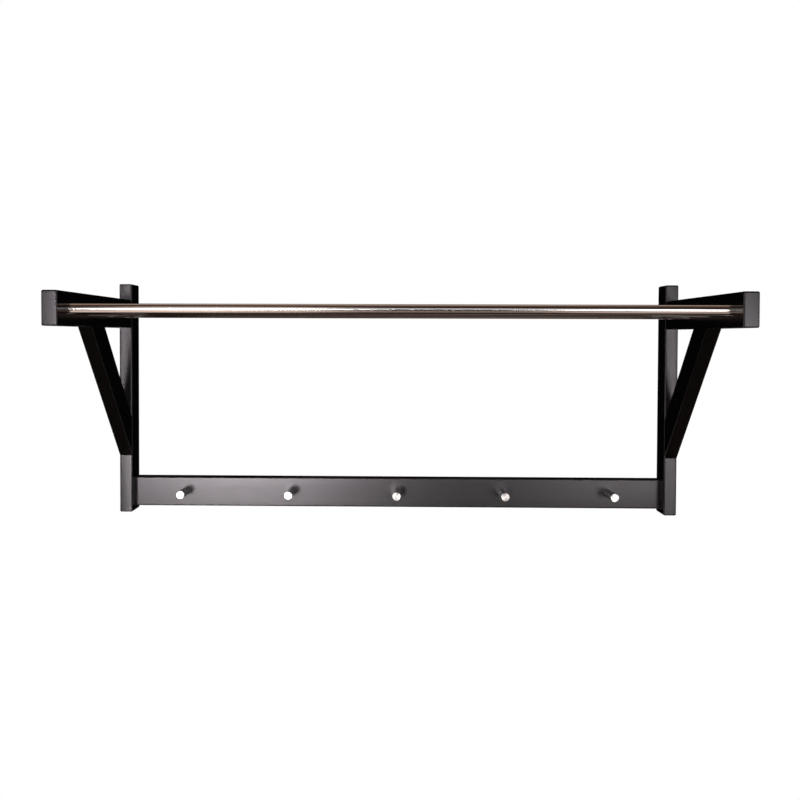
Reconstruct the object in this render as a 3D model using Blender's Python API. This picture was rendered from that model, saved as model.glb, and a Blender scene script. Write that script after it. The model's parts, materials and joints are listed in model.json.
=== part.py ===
"""Wall coat rack: two dowelled bracket frames, a hat shelf of steel tubes and a rail of turned pegs.

The wall is the plane Y = 0 and the rack stands out from it along -Y. X runs along the rack and Z is up.
The origin is on the wall, midway along the rack, at the height of its two hanging screws. That is also
the centre line of the arms and of the shelf tubes.
"""

import math

import bmesh
import bpy
from mathutils import Vector

MM = 0.001

# Overall size
RACK_WIDTH = 790 * MM  # between the outer faces of the two brackets
RACK_DEPTH = 345 * MM  # wall to the front ends of the arms
UPRIGHT_HEIGHT = 325 * MM

# Room left where pieces meet
JOINT_GAP = 0.3 * MM  # glue line or slip between faces that meet
FIT_CLEARANCE = 0.3 * MM  # between a round piece and the wall of its hole
END_ROOM = 1 * MM  # beyond the end of a dowel, screw or bolt in its hole

# Bracket boards
BOARD_THICKNESS = 18 * MM
UPRIGHT_DEPTH = 40 * MM
UPRIGHT_ABOVE_ARM = 22.5 * MM
ARM_HEIGHT = 40 * MM
BRACE_WIDTH = 40 * MM
BRACE_ANGLE = math.radians(45)  # from the horizontal
BRACE_DROP = 181.5 * MM  # arm underside to the brace's lowest corner on the upright
EDGE_RADIUS = 2 * MM  # rounded arrises of every board
EDGE_SEGMENTS = 3

# Shelf tubes
TUBE_COUNT = 4
TUBE_DIAMETER = 12 * MM
TUBE_WALL = 1 * MM
TUBE_MARGIN = 32.5 * MM  # from either end of the arm to the nearest tube's axis
SOCKET_FLOOR = 7 * MM  # wood left behind the blind sockets in the arms

# Hook rail
RAIL_HEIGHT = 42 * MM
RAIL_THICKNESS = 20 * MM
RAIL_ABOVE_FOOT = 6 * MM  # rail underside above the uprights' lower ends

# Pegs
PEG_COUNT = 5
PEG_DIAMETER = 12 * MM
PEG_LENGTH = 40 * MM
PEG_MARGIN = 73 * MM  # from the uprights to the outer pegs' axes
PEG_BELOW_RAIL_TOP = 20 * MM
PEG_CHAMFER = 0.6 * MM

# Countersunk screws that hold the pegs from behind the rail
PEG_SCREW_DIAMETER = 5 * MM
PEG_SCREW_IN_PEG = 14 * MM
PEG_SCREW_HEAD = 9.4 * MM
PEG_SCREW_SUNK = 0.5 * MM  # head below the back of the rail
PEG_SCREW_KEY = 3 * MM  # across the flats of its hexagon socket
PEG_SCREW_KEY_DEPTH = 1.8 * MM

# Dowels
DOWEL_DIAMETER = 8 * MM
DOWEL_CHAMFER = 1 * MM
ARM_DOWEL_LENGTH = 40 * MM
ARM_DOWEL_SPACING = 20 * MM
BRACE_DOWEL_LENGTH = 26 * MM
BRACE_DOWEL_FROM_TIP = 22 * MM  # sharp corner of the brace's end to the nearer dowel
BRACE_DOWEL_FROM_HEEL = 11 * MM  # blunt corner of the brace's end to the nearer dowel
RAIL_DOWEL_LENGTH = 30 * MM
RAIL_DOWEL_IN_UPRIGHT = 10 * MM

# Bolts and barrel nuts that draw the rail to the uprights
RAIL_FIXING_SPACING = 18 * MM  # bolt above dowel at each end of the rail
BOLT_DIAMETER = 6 * MM
BOLT_HEAD_DIAMETER = 10 * MM
BOLT_HEAD_HEIGHT = 6 * MM
BOLT_SUNK = 0.5 * MM  # head below the upright's outer face
BOLT_KEY = 5 * MM  # across the flats of its hexagon socket
BOLT_KEY_DEPTH = 3 * MM
BOLT_PAST_NUT = 4 * MM
NUT_DIAMETER = 10 * MM
NUT_LENGTH = 14 * MM
NUT_FROM_UPRIGHT = 25 * MM
NUT_SLOT_WIDTH = 1.4 * MM
NUT_SLOT_DEPTH = 1.2 * MM

# Keyhole hangers let into the backs of the uprights
HANGER_WIDTH = 13 * MM
HANGER_HEIGHT = 46 * MM
HANGER_THICKNESS = 2 * MM
HANGER_CORNER = 3 * MM
HANGER_ABOVE_SEAT = 18 * MM  # wall screw's seat to the hanger's upper end
KEYHOLE_MOUTH = 9.5 * MM
KEYHOLE_SLOT = 5.5 * MM
KEYHOLE_TRAVEL = 10 * MM  # mouth's centre up to the seat
POCKET_WIDTH = 10.5 * MM  # hollow behind the hanger for the wall screw's head
POCKET_DEPTH = 8 * MM
HANGER_SCREW_DIAMETER = 3 * MM
HANGER_SCREW_LENGTH = 14 * MM
HANGER_SCREW_HEAD = 5.4 * MM
HANGER_SCREW_FROM_END = 6 * MM
HANGER_SCREW_SLOT_WIDTH = 0.8 * MM
HANGER_SCREW_SLOT_DEPTH = 0.7 * MM

# Facets round a turned piece or a drilled hole
TUBE_FACETS = 32
PEG_FACETS = 32
BOLT_FACETS = 20
DOWEL_FACETS = 12
HEXAGON = 6
CORNER_STEPS = 4
SMOOTH_ANGLE = math.radians(40)
MERGE_DISTANCE = 0.001 * MM  # points of a turned profile that meet on its axis

# Places worked out from the sizes above
SIDES = {"left": -1, "right": 1}
INNER_FACE = RACK_WIDTH / 2 - BOARD_THICKNESS
OUTER_FACE = RACK_WIDTH / 2
BOARD_CENTRE = RACK_WIDTH / 2 - BOARD_THICKNESS / 2
UPRIGHT_FRONT = -UPRIGHT_DEPTH
UPRIGHT_TOP = ARM_HEIGHT / 2 + UPRIGHT_ABOVE_ARM
UPRIGHT_FOOT = UPRIGHT_TOP - UPRIGHT_HEIGHT
ARM_FRONT = -RACK_DEPTH
ARM_UNDERSIDE = -ARM_HEIGHT / 2
BRACE_TIP = UPRIGHT_FRONT - BRACE_DROP / math.tan(BRACE_ANGLE)
BRACE_FOOT = ARM_UNDERSIDE - BRACE_DROP
BRACE_HEAD_LENGTH = BRACE_WIDTH / math.sin(BRACE_ANGLE)
BRACE_FOOT_LENGTH = BRACE_WIDTH / math.cos(BRACE_ANGLE)
RAIL_TOP = UPRIGHT_FOOT + RAIL_ABOVE_FOOT + RAIL_HEIGHT
RAIL_CENTRE = RAIL_TOP - RAIL_HEIGHT / 2
RAIL_MIDDLE = -RAIL_THICKNESS / 2
BOLT_HEIGHT = RAIL_CENTRE + RAIL_FIXING_SPACING / 2
RAIL_DOWEL_HEIGHT = RAIL_CENTRE - RAIL_FIXING_SPACING / 2
BOLT_REACH = NUT_FROM_UPRIGHT + NUT_DIAMETER / 2 + BOLT_PAST_NUT
SOCKET_DEPTH = BOARD_THICKNESS - SOCKET_FLOOR
HANGER_FACE = -JOINT_GAP

# Turns that lay a piece's own +Z along the rack, towards the wall or away from it
ALONG_X = (0, math.pi / 2, 0)
TOWARDS_WALL = (-math.pi / 2, 0, 0)
FROM_WALL = (math.pi / 2, 0, 0)
UPWARDS = (0, 0, 0)
# Turn that stands up an outline drawn from the rack's side, as (distance towards the wall, height)
SIDE_ON = (math.pi / 2, 0, math.pi / 2)

# Directions in which boards butt against others, as an outline drawn from the side sees them
REAR = Vector((1, 0, 0))
ABOVE = Vector((0, 1, 0))
ENDS = (Vector((0, 0, 1)), Vector((0, 0, -1)))
SAME_WAY = 0.999  # cosine above which a face counts as looking in such a direction


def outwards(side):
    """Turn that lays a piece's own +Z along the rack, pointing out of one end of it."""
    return (0, side * math.pi / 2, 0)


def spread(first, last, count):
    """Evenly spaced places from first to last."""
    step = (last - first) / (count - 1)
    return [first + step * k for k in range(count)]


# Finishes


def finish(name, colour, roughness, metallic):
    made = bpy.data.materials.new(name)
    made.use_nodes = True
    shader = made.node_tree.nodes["Principled BSDF"]
    shader.inputs["Base Color"].default_value = (*colour, 1)
    shader.inputs["Roughness"].default_value = roughness
    shader.inputs["Metallic"].default_value = metallic
    return made


# Shapes


def extrusion(outline, length):
    """An outline of (x, y) points made into a solid, centred on z = 0."""
    shape = bmesh.new()
    face = shape.faces.new([shape.verts.new((x, y, -length / 2)) for x, y in outline])
    raised = bmesh.ops.extrude_face_region(shape, geom=[face])["geom"]
    tops = [part for part in raised if isinstance(part, bmesh.types.BMVert)]
    bmesh.ops.translate(shape, vec=(0, 0, length), verts=tops)
    bmesh.ops.recalc_face_normals(shape, faces=shape.faces)
    return shape


def revolution(profile, facets):
    """A profile of (radius, height) points turned about Z: open on the axis, or a closed ring off it."""
    shape = bmesh.new()
    points = [shape.verts.new((radius, 0, height)) for radius, height in profile]
    edges = [shape.edges.new(pair) for pair in zip(points, points[1:])]
    is_ring = profile[0][0] > 0
    if is_ring:
        edges.append(shape.edges.new((points[-1], points[0])))
    turn = {"axis": (0, 0, 1), "cent": (0, 0, 0), "angle": 2 * math.pi, "steps": facets}
    bmesh.ops.spin(shape, geom=points + edges, use_merge=True, **turn)
    bmesh.ops.remove_doubles(shape, verts=shape.verts, dist=MERGE_DISTANCE)
    bmesh.ops.recalc_face_normals(shape, faces=shape.faces)
    return shape


def rectangle(low, high):
    return [low, (high[0], low[1]), high, (low[0], high[1])]


def rounded_rectangle(low, high, radius):
    """A rectangle whose corners are quarter circles."""
    quarter = [math.pi / 2 * k / CORNER_STEPS for k in range(CORNER_STEPS + 1)]
    centres = rectangle((low[0] + radius, low[1] + radius), (high[0] - radius, high[1] - radius))
    outline = []
    for number, (x, y) in enumerate(centres):
        start = math.pi + number * math.pi / 2
        outline += [(x + radius * math.cos(start + a), y + radius * math.sin(start + a)) for a in quarter]
    return outline


def slot_outline(width, travel):
    """A slot from its upper centre at (0, 0) down to (0, -travel), round at both ends."""
    radius = width / 2
    half_turn = [math.pi * k / DOWEL_FACETS for k in range(DOWEL_FACETS + 1)]
    upper = [(radius * math.cos(a), radius * math.sin(a)) for a in half_turn]
    lower = [(-radius * math.cos(a), -travel - radius * math.sin(a)) for a in half_turn]
    return upper + lower


def plain_rod(radius, low, high):
    return [(0, high), (radius, high), (radius, low), (0, low)]


def chamfered_rod(radius, low, high, chamfer):
    inner = radius - chamfer
    upper = [(0, high), (inner, high), (radius, high - chamfer)]
    lower = [(radius, low + chamfer), (inner, low), (0, low)]
    return upper + lower


def countersunk(shank, head, length, grow=0.0, rise=0.0):
    """Profile of a countersunk screw, head up at height 0. Its hole has grow, and rise above the head."""
    head_radius = head / 2 + grow
    shank_radius = shank / 2 + grow
    cone = head_radius - shank_radius
    top = [(0, rise), (head_radius, rise)]
    land = [(head_radius, 0)] if rise else []
    return top + land + [(shank_radius, -cone), (shank_radius, -length), (0, -length)]


def hexagon_rod(across_flats, depth):
    radius = across_flats / 2 / math.cos(math.pi / HEXAGON)
    return revolution(plain_rod(radius, -depth, depth), HEXAGON)


def round_arrises(shape, jointed):
    """Rounds a board's arrises, apart from those of faces that butt against another board."""
    square = set()
    for face in shape.faces:
        if any(face.normal.dot(direction) > SAME_WAY for direction in jointed):
            square.update(face.edges)
    free = [edge for edge in shape.edges if edge not in square]
    bmesh.ops.bevel(
        shape, geom=free, offset=EDGE_RADIUS, segments=EDGE_SEGMENTS, profile=0.5, affect="EDGES"
    )


# Objects


def assembly(name, parent=None):
    """An empty that a group of pieces hangs from."""
    made = bpy.data.objects.new(name, None)
    made.parent = parent
    bpy.context.scene.collection.objects.link(made)
    return made


def place(name, shape, location, turn):
    mesh = bpy.data.meshes.new(name)
    shape.to_mesh(mesh)
    shape.free()
    mesh.shade_smooth()
    mesh.set_sharp_from_angle(angle=SMOOTH_ANGLE)
    made = bpy.data.objects.new(name, mesh)
    made.location = location
    made.rotation_euler = turn
    bpy.context.scene.collection.objects.link(made)
    return made


def piece(name, shape, location, turn, surface, parent):
    """A piece of the rack: a named object with its finish, in its sub-assembly."""
    made = place(name, shape, location, turn)
    made.data.materials.append(surface)
    made.parent = parent
    return made


def cutters_of(target):
    """The collection of shapes that one Boolean takes out of a piece all together."""
    if "cuts" not in target.modifiers:
        cutters = bpy.data.collections.new(f"{target.name}_cutters")
        bpy.context.scene.collection.children.link(cutters)
        cuts = target.modifiers.new("cuts", "BOOLEAN")
        cuts.operation = "DIFFERENCE"
        cuts.solver = "EXACT"
        cuts.operand_type = "COLLECTION"
        cuts.collection = cutters
    return target.modifiers["cuts"].collection


def cut(target, name, shape, location, turn):
    """Takes a shape out of a piece. The shape stays behind as a hidden wire object."""
    cutter = place(f"{target.name}_{name}", shape, location, turn)
    cutter.hide_render = True
    cutter.display_type = "WIRE"
    cutters_of(target).objects.link(cutter)


def bore(target, name, diameter, depth, mouth, turn, facets):
    """A round hole with clearance, this deep from its mouth. The drill also clears the mouth outwards."""
    radius = diameter / 2 + FIT_CLEARANCE
    cut(target, name, revolution(plain_rod(radius, -depth, depth), facets), mouth, turn)


# Places of what repeats


def tube_places():
    """Distances from the wall, front tube first."""
    return spread(ARM_FRONT + TUBE_MARGIN, UPRIGHT_FRONT - TUBE_MARGIN, TUBE_COUNT)


def peg_places():
    return spread(-INNER_FACE + PEG_MARGIN, INNER_FACE - PEG_MARGIN, PEG_COUNT)


def arm_dowel_places(side):
    """On the face between an arm and its upright."""
    half = ARM_DOWEL_SPACING / 2
    return [(side * BOARD_CENTRE, UPRIGHT_FRONT, height) for height in (half, -half)]


def brace_head_dowel_places(side):
    """On the face between a brace and its arm, counted back from the brace's front corner."""
    offsets = (BRACE_DOWEL_FROM_TIP, BRACE_HEAD_LENGTH - BRACE_DOWEL_FROM_HEEL)
    return [(side * BOARD_CENTRE, BRACE_TIP + offset, ARM_UNDERSIDE) for offset in offsets]


def brace_foot_dowel_places(side):
    """On the face between a brace and its upright, counted up from the brace's lowest corner."""
    offsets = (BRACE_DOWEL_FROM_TIP, BRACE_FOOT_LENGTH - BRACE_DOWEL_FROM_HEEL)
    return [(side * BOARD_CENTRE, UPRIGHT_FRONT, BRACE_FOOT + offset) for offset in offsets]


def hanger_screw_heights():
    top = HANGER_ABOVE_SEAT - HANGER_SCREW_FROM_END
    foot = HANGER_ABOVE_SEAT - HANGER_HEIGHT + HANGER_SCREW_FROM_END
    return {"upper": top, "lower": foot}


# Bracket boards


def make_upright(name, side, surface, parent):
    """The board against the wall: drilled for arm, brace and rail, with a hanger let in behind."""
    outline = rectangle((UPRIGHT_FRONT, UPRIGHT_FOOT), (0, UPRIGHT_TOP))
    shape = extrusion(outline, BOARD_THICKNESS)
    round_arrises(shape, jointed=())
    made = piece(f"{name}_upright", shape, (side * BOARD_CENTRE, 0, 0), SIDE_ON, surface, parent)
    dowels = [(ARM_DOWEL_LENGTH, mouth) for mouth in arm_dowel_places(side)]
    dowels += [(BRACE_DOWEL_LENGTH, mouth) for mouth in brace_foot_dowel_places(side)]
    for number, (length, mouth) in enumerate(dowels, 1):
        depth = length / 2 + END_ROOM
        bore(made, f"dowel_hole_{number}", DOWEL_DIAMETER, depth, mouth, TOWARDS_WALL, DOWEL_FACETS)
    drill_upright_for_rail(made, side)
    let_in_hanger(made, side)


def drill_upright_for_rail(upright, side):
    """A counterbored bolt hole from outside and a blind dowel hole from inside."""
    outside = (side * OUTER_FACE, RAIL_MIDDLE, BOLT_HEIGHT)
    head_radius = BOLT_HEAD_DIAMETER / 2 + FIT_CLEARANCE
    head_room = BOLT_SUNK + BOLT_HEAD_HEIGHT + JOINT_GAP
    radius = BOLT_DIAMETER / 2 + FIT_CLEARANCE
    through = BOARD_THICKNESS + END_ROOM
    profile = [
        (0, END_ROOM),
        (head_radius, END_ROOM),
        (head_radius, -head_room),
        (radius, -head_room),
        (radius, -through),
        (0, -through),
    ]
    cut(upright, "bolt_hole", revolution(profile, BOLT_FACETS), outside, outwards(side))
    inside = (side * INNER_FACE, RAIL_MIDDLE, RAIL_DOWEL_HEIGHT)
    depth = RAIL_DOWEL_IN_UPRIGHT + END_ROOM
    bore(upright, "rail_dowel_hole", DOWEL_DIAMETER, depth, inside, ALONG_X, DOWEL_FACETS)


def let_in_hanger(upright, side):
    """A seat of the hanger's own outline, a pocket behind it for the wall screw's head, and screw holes."""
    behind = (side * BOARD_CENTRE, 0, 0)
    seat_depth = HANGER_THICKNESS + JOINT_GAP - HANGER_FACE
    seat = extrusion(hanger_outline(FIT_CLEARANCE), 2 * seat_depth)
    cut(upright, "hanger_seat", seat, behind, FROM_WALL)
    pocket = extrusion(slot_outline(POCKET_WIDTH, KEYHOLE_TRAVEL), 2 * (seat_depth + POCKET_DEPTH))
    cut(upright, "screw_head_pocket", pocket, behind, FROM_WALL)
    depth = HANGER_SCREW_LENGTH - HANGER_FACE + END_ROOM
    for which, height in hanger_screw_heights().items():
        mouth = (side * BOARD_CENTRE, 0, height)
        name = f"{which}_screw_hole"
        bore(upright, name, HANGER_SCREW_DIAMETER, depth, mouth, FROM_WALL, DOWEL_FACETS)


def make_arm(name, side, surface, parent):
    """The board that carries the shelf: square at its butt joint, with blind tube sockets inside."""
    outline = rectangle((ARM_FRONT, ARM_UNDERSIDE), (UPRIGHT_FRONT - JOINT_GAP, -ARM_UNDERSIDE))
    shape = extrusion(outline, BOARD_THICKNESS)
    round_arrises(shape, jointed=(REAR,))
    made = piece(f"{name}_arm", shape, (side * BOARD_CENTRE, 0, 0), SIDE_ON, surface, parent)
    for number, y in enumerate(tube_places(), 1):
        mouth = (side * INNER_FACE, y, 0)
        bore(made, f"tube_socket_{number}", TUBE_DIAMETER, SOCKET_DEPTH, mouth, ALONG_X, TUBE_FACETS)
    depth = ARM_DOWEL_LENGTH / 2 + END_ROOM
    for number, mouth in enumerate(arm_dowel_places(side), 1):
        bore(made, f"dowel_hole_{number}", DOWEL_DIAMETER, depth, mouth, FROM_WALL, DOWEL_FACETS)
    depth = BRACE_DOWEL_LENGTH / 2 + END_ROOM
    for number, mouth in enumerate(brace_head_dowel_places(side), 1):
        bore(made, f"brace_dowel_hole_{number}", DOWEL_DIAMETER, depth, mouth, UPWARDS, DOWEL_FACETS)


def brace_outline():
    """The brace from the side, measured from its front corner: parallel edges between two splayed ends."""
    slope = math.tan(BRACE_ANGLE)
    rear = UPRIGHT_FRONT - JOINT_GAP - BRACE_TIP
    lead = JOINT_GAP / slope
    return [
        (lead, -JOINT_GAP),
        (rear, -rear * slope),
        (rear, (BRACE_HEAD_LENGTH - rear) * slope),
        (BRACE_HEAD_LENGTH + lead, -JOINT_GAP),
    ]


def make_brace(name, side, surface, parent):
    """The diagonal strut, cut to lie on the arm's underside and the upright's front, dowelled to both."""
    shape = extrusion(brace_outline(), BOARD_THICKNESS)
    round_arrises(shape, jointed=(REAR, ABOVE))
    location = (side * BOARD_CENTRE, BRACE_TIP, ARM_UNDERSIDE)
    made = piece(f"{name}_brace", shape, location, SIDE_ON, surface, parent)
    depth = BRACE_DOWEL_LENGTH / 2 + END_ROOM
    for number, mouth in enumerate(brace_head_dowel_places(side), 1):
        bore(made, f"head_dowel_hole_{number}", DOWEL_DIAMETER, depth, mouth, UPWARDS, DOWEL_FACETS)
    for number, mouth in enumerate(brace_foot_dowel_places(side), 1):
        bore(made, f"foot_dowel_hole_{number}", DOWEL_DIAMETER, depth, mouth, FROM_WALL, DOWEL_FACETS)


# Dowels of a bracket


def make_dowel(name, length, location, turn, surface, parent):
    profile = chamfered_rod(DOWEL_DIAMETER / 2, -length / 2, length / 2, DOWEL_CHAMFER)
    piece(name, revolution(profile, DOWEL_FACETS), location, turn, surface, parent)


def make_bracket_dowels(name, side, surface, parent):
    joints = [
        ("arm_dowel", arm_dowel_places(side), ARM_DOWEL_LENGTH, FROM_WALL),
        ("brace_head_dowel", brace_head_dowel_places(side), BRACE_DOWEL_LENGTH, UPWARDS),
        ("brace_foot_dowel", brace_foot_dowel_places(side), BRACE_DOWEL_LENGTH, FROM_WALL),
    ]
    for joint, places, length, turn in joints:
        for number, middle in enumerate(places, 1):
            make_dowel(f"{name}_{joint}_{number}", length, middle, turn, surface, parent)


# Keyhole hangers


def hanger_outline(grow=0.0):
    """The hanger from behind, round its wall screw's seat at (0, 0)."""
    half = HANGER_WIDTH / 2 + grow
    top = HANGER_ABOVE_SEAT + grow
    foot = HANGER_ABOVE_SEAT - HANGER_HEIGHT - grow
    return rounded_rectangle((-half, foot), (half, top), HANGER_CORNER + grow)


def make_hanger(name, side, surface, parent):
    """A plate with a keyhole: the wall screw's head enters the mouth, then the shank rises to the seat."""
    centre = (side * BOARD_CENTRE, HANGER_FACE - HANGER_THICKNESS / 2, 0)
    shape = extrusion(hanger_outline(), HANGER_THICKNESS)
    made = piece(f"{name}_hanger", shape, centre, FROM_WALL, surface, parent)
    slot = extrusion(slot_outline(KEYHOLE_SLOT, KEYHOLE_TRAVEL), 2 * HANGER_THICKNESS)
    cut(made, "keyhole_slot", slot, centre, FROM_WALL)
    mouth = revolution(plain_rod(KEYHOLE_MOUTH / 2, -HANGER_THICKNESS, HANGER_THICKNESS), BOLT_FACETS)
    cut(made, "keyhole_mouth", mouth, (centre[0], centre[1], -KEYHOLE_TRAVEL), FROM_WALL)
    for which, height in hanger_screw_heights().items():
        head = (side * BOARD_CENTRE, HANGER_FACE, height)
        profile = countersunk(
            HANGER_SCREW_DIAMETER, HANGER_SCREW_HEAD, HANGER_SCREW_LENGTH, grow=FIT_CLEARANCE, rise=END_ROOM
        )
        cut(made, f"{which}_screw_hole", revolution(profile, DOWEL_FACETS), head, TOWARDS_WALL)
        make_hanger_screw(f"{name}_hanger_screw_{which}", head, surface, parent)


def make_hanger_screw(name, head, surface, parent):
    profile = countersunk(HANGER_SCREW_DIAMETER, HANGER_SCREW_HEAD, HANGER_SCREW_LENGTH)
    made = piece(name, revolution(profile, DOWEL_FACETS), head, TOWARDS_WALL, surface, parent)
    half = HANGER_SCREW_SLOT_WIDTH / 2
    slot = extrusion(
        rectangle((-HANGER_SCREW_HEAD, -half), (HANGER_SCREW_HEAD, half)), 2 * HANGER_SCREW_SLOT_DEPTH
    )
    cut(made, "slot", slot, head, TOWARDS_WALL)


# Hook rail and what joins it to the uprights


def make_rail(surface, parent):
    """The board behind the pegs, flush with the backs of the uprights and square where it meets them."""
    outline = rectangle((-RAIL_THICKNESS, RAIL_TOP - RAIL_HEIGHT), (0, RAIL_TOP))
    shape = extrusion(outline, 2 * (INNER_FACE - JOINT_GAP))
    round_arrises(shape, jointed=ENDS)
    made = piece("hook_rail", shape, (0, 0, 0), SIDE_ON, surface, parent)
    nut_depth = RAIL_THICKNESS / 2 + NUT_LENGTH / 2 + JOINT_GAP
    dowel_depth = RAIL_DOWEL_LENGTH - RAIL_DOWEL_IN_UPRIGHT + END_ROOM
    for name, side in SIDES.items():
        end = side * INNER_FACE
        bolt = (end, RAIL_MIDDLE, BOLT_HEIGHT)
        bore(made, f"{name}_bolt_hole", BOLT_DIAMETER, BOLT_REACH + END_ROOM, bolt, ALONG_X, BOLT_FACETS)
        nut = (side * (INNER_FACE - NUT_FROM_UPRIGHT), 0, BOLT_HEIGHT)
        bore(made, f"{name}_nut_hole", NUT_DIAMETER, nut_depth, nut, FROM_WALL, BOLT_FACETS)
        dowel = (end, RAIL_MIDDLE, RAIL_DOWEL_HEIGHT)
        bore(made, f"{name}_dowel_hole", DOWEL_DIAMETER, dowel_depth, dowel, ALONG_X, DOWEL_FACETS)
    profile = countersunk(
        PEG_SCREW_DIAMETER, PEG_SCREW_HEAD, RAIL_THICKNESS + END_ROOM, grow=FIT_CLEARANCE, rise=END_ROOM
    )
    for number, x in enumerate(peg_places(), 1):
        hole = revolution(profile, BOLT_FACETS)
        cut(made, f"peg_screw_hole_{number}", hole, peg_screw_head(x), TOWARDS_WALL)


def make_rail_dowel(name, side, surface, parent):
    middle = INNER_FACE + RAIL_DOWEL_IN_UPRIGHT - RAIL_DOWEL_LENGTH / 2
    location = (side * middle, RAIL_MIDDLE, RAIL_DOWEL_HEIGHT)
    make_dowel(f"{name}_rail_dowel", RAIL_DOWEL_LENGTH, location, ALONG_X, surface, parent)


def make_rail_bolt(name, side, surface, parent):
    """A socket-head bolt: its head sunk in the upright's outer face, its shank through the barrel nut."""
    head_top = OUTER_FACE - BOLT_SUNK
    length = head_top - INNER_FACE + BOLT_REACH
    radius = BOLT_DIAMETER / 2
    head_radius = BOLT_HEAD_DIAMETER / 2
    profile = [
        (0, 0),
        (head_radius - PEG_CHAMFER, 0),
        (head_radius, -PEG_CHAMFER),
        (head_radius, -BOLT_HEAD_HEIGHT),
        (radius, -BOLT_HEAD_HEIGHT),
        (radius, -length + DOWEL_CHAMFER),
        (radius - DOWEL_CHAMFER, -length),
        (0, -length),
    ]
    head = (side * head_top, RAIL_MIDDLE, BOLT_HEIGHT)
    shape = revolution(profile, BOLT_FACETS)
    made = piece(f"{name}_rail_bolt", shape, head, outwards(side), surface, parent)
    cut(made, "hexagon_socket", hexagon_rod(BOLT_KEY, BOLT_KEY_DEPTH), head, outwards(side))


def make_barrel_nut(name, side, surface, parent):
    """A cross-drilled pin in the back of the rail, with a slot to turn its hole to the bolt."""
    centre = (side * (INNER_FACE - NUT_FROM_UPRIGHT), RAIL_MIDDLE, BOLT_HEIGHT)
    half = NUT_LENGTH / 2
    profile = chamfered_rod(NUT_DIAMETER / 2, -half, half, PEG_CHAMFER)
    shape = revolution(profile, BOLT_FACETS)
    made = piece(f"{name}_barrel_nut", shape, centre, TOWARDS_WALL, surface, parent)
    bore(made, "bolt_hole", BOLT_DIAMETER, NUT_DIAMETER, centre, ALONG_X, BOLT_FACETS)
    slot_half = NUT_SLOT_WIDTH / 2
    slot = extrusion(rectangle((-NUT_DIAMETER, -slot_half), (NUT_DIAMETER, slot_half)), 2 * NUT_SLOT_DEPTH)
    cut(made, "slot", slot, (centre[0], RAIL_MIDDLE + half, centre[2]), TOWARDS_WALL)


# Pegs


def peg_screw_head(x):
    return (x, -PEG_SCREW_SUNK, RAIL_TOP - PEG_BELOW_RAIL_TOP)


def make_peg(number, x, surface, parent):
    """A plain turned pin with a tapped hole in its base."""
    radius = PEG_DIAMETER / 2
    hole_radius = PEG_SCREW_DIAMETER / 2 + FIT_CLEARANCE
    hole_depth = PEG_SCREW_IN_PEG + END_ROOM
    profile = [
        (0, PEG_LENGTH),
        (radius - PEG_CHAMFER, PEG_LENGTH),
        (radius, PEG_LENGTH - PEG_CHAMFER),
        (radius, 0),
        (hole_radius, 0),
        (hole_radius, hole_depth),
        (0, hole_depth),
    ]
    base = (x, -RAIL_THICKNESS - JOINT_GAP, RAIL_TOP - PEG_BELOW_RAIL_TOP)
    piece(f"peg_{number}", revolution(profile, PEG_FACETS), base, FROM_WALL, surface, parent)


def make_peg_screw(number, x, surface, parent):
    """Drawn up from the back of the rail into the peg."""
    length = RAIL_THICKNESS + JOINT_GAP + PEG_SCREW_IN_PEG - PEG_SCREW_SUNK
    profile = countersunk(PEG_SCREW_DIAMETER, PEG_SCREW_HEAD, length)
    head = peg_screw_head(x)
    shape = revolution(profile, BOLT_FACETS)
    made = piece(f"peg_screw_{number}", shape, head, TOWARDS_WALL, surface, parent)
    cut(made, "hexagon_socket", hexagon_rod(PEG_SCREW_KEY, PEG_SCREW_KEY_DEPTH), head, TOWARDS_WALL)


# Shelf


def make_tube(number, y, surface, parent):
    """A tube that ends in a blind socket in each arm."""
    half = INNER_FACE + SOCKET_DEPTH - JOINT_GAP
    outer = TUBE_DIAMETER / 2
    inner = outer - TUBE_WALL
    wall = [(outer, half), (outer, -half), (inner, -half), (inner, half)]
    piece(f"shelf_tube_{number}", revolution(wall, TUBE_FACETS), (0, y, 0), ALONG_X, surface, parent)


def build_rack():
    lacquer = finish("black_satin_lacquer", (0.012, 0.011, 0.012), 0.38, 0)
    stainless = finish("bright_stainless", (0.62, 0.60, 0.58), 0.16, 1)
    turned = finish("turned_stainless", (0.70, 0.69, 0.68), 0.22, 1)
    beech = finish("plain_beech", (0.55, 0.36, 0.20), 0.6, 0)
    zinc = finish("zinc_plated_steel", (0.55, 0.56, 0.58), 0.35, 1)
    black_oxide = finish("black_oxide_steel", (0.03, 0.03, 0.032), 0.4, 1)
    rack = assembly("coat_rack")
    peg_rail = assembly("peg_rail", rack)
    shelf = assembly("hat_shelf", rack)
    make_rail(lacquer, peg_rail)
    for name, side in SIDES.items():
        bracket = assembly(f"{name}_bracket", rack)
        make_upright(name, side, lacquer, bracket)
        make_arm(name, side, lacquer, bracket)
        make_brace(name, side, lacquer, bracket)
        make_bracket_dowels(name, side, beech, bracket)
        make_hanger(name, side, zinc, bracket)
        make_rail_dowel(name, side, beech, peg_rail)
        make_rail_bolt(name, side, black_oxide, peg_rail)
        make_barrel_nut(name, side, zinc, peg_rail)
    for number, x in enumerate(peg_places(), 1):
        make_peg(number, x, turned, peg_rail)
        make_peg_screw(number, x, zinc, peg_rail)
    for number, y in enumerate(tube_places(), 1):
        make_tube(number, y, stainless, shelf)


for old in list(bpy.data.objects):
    bpy.data.objects.remove(old)
build_rack()
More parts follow.
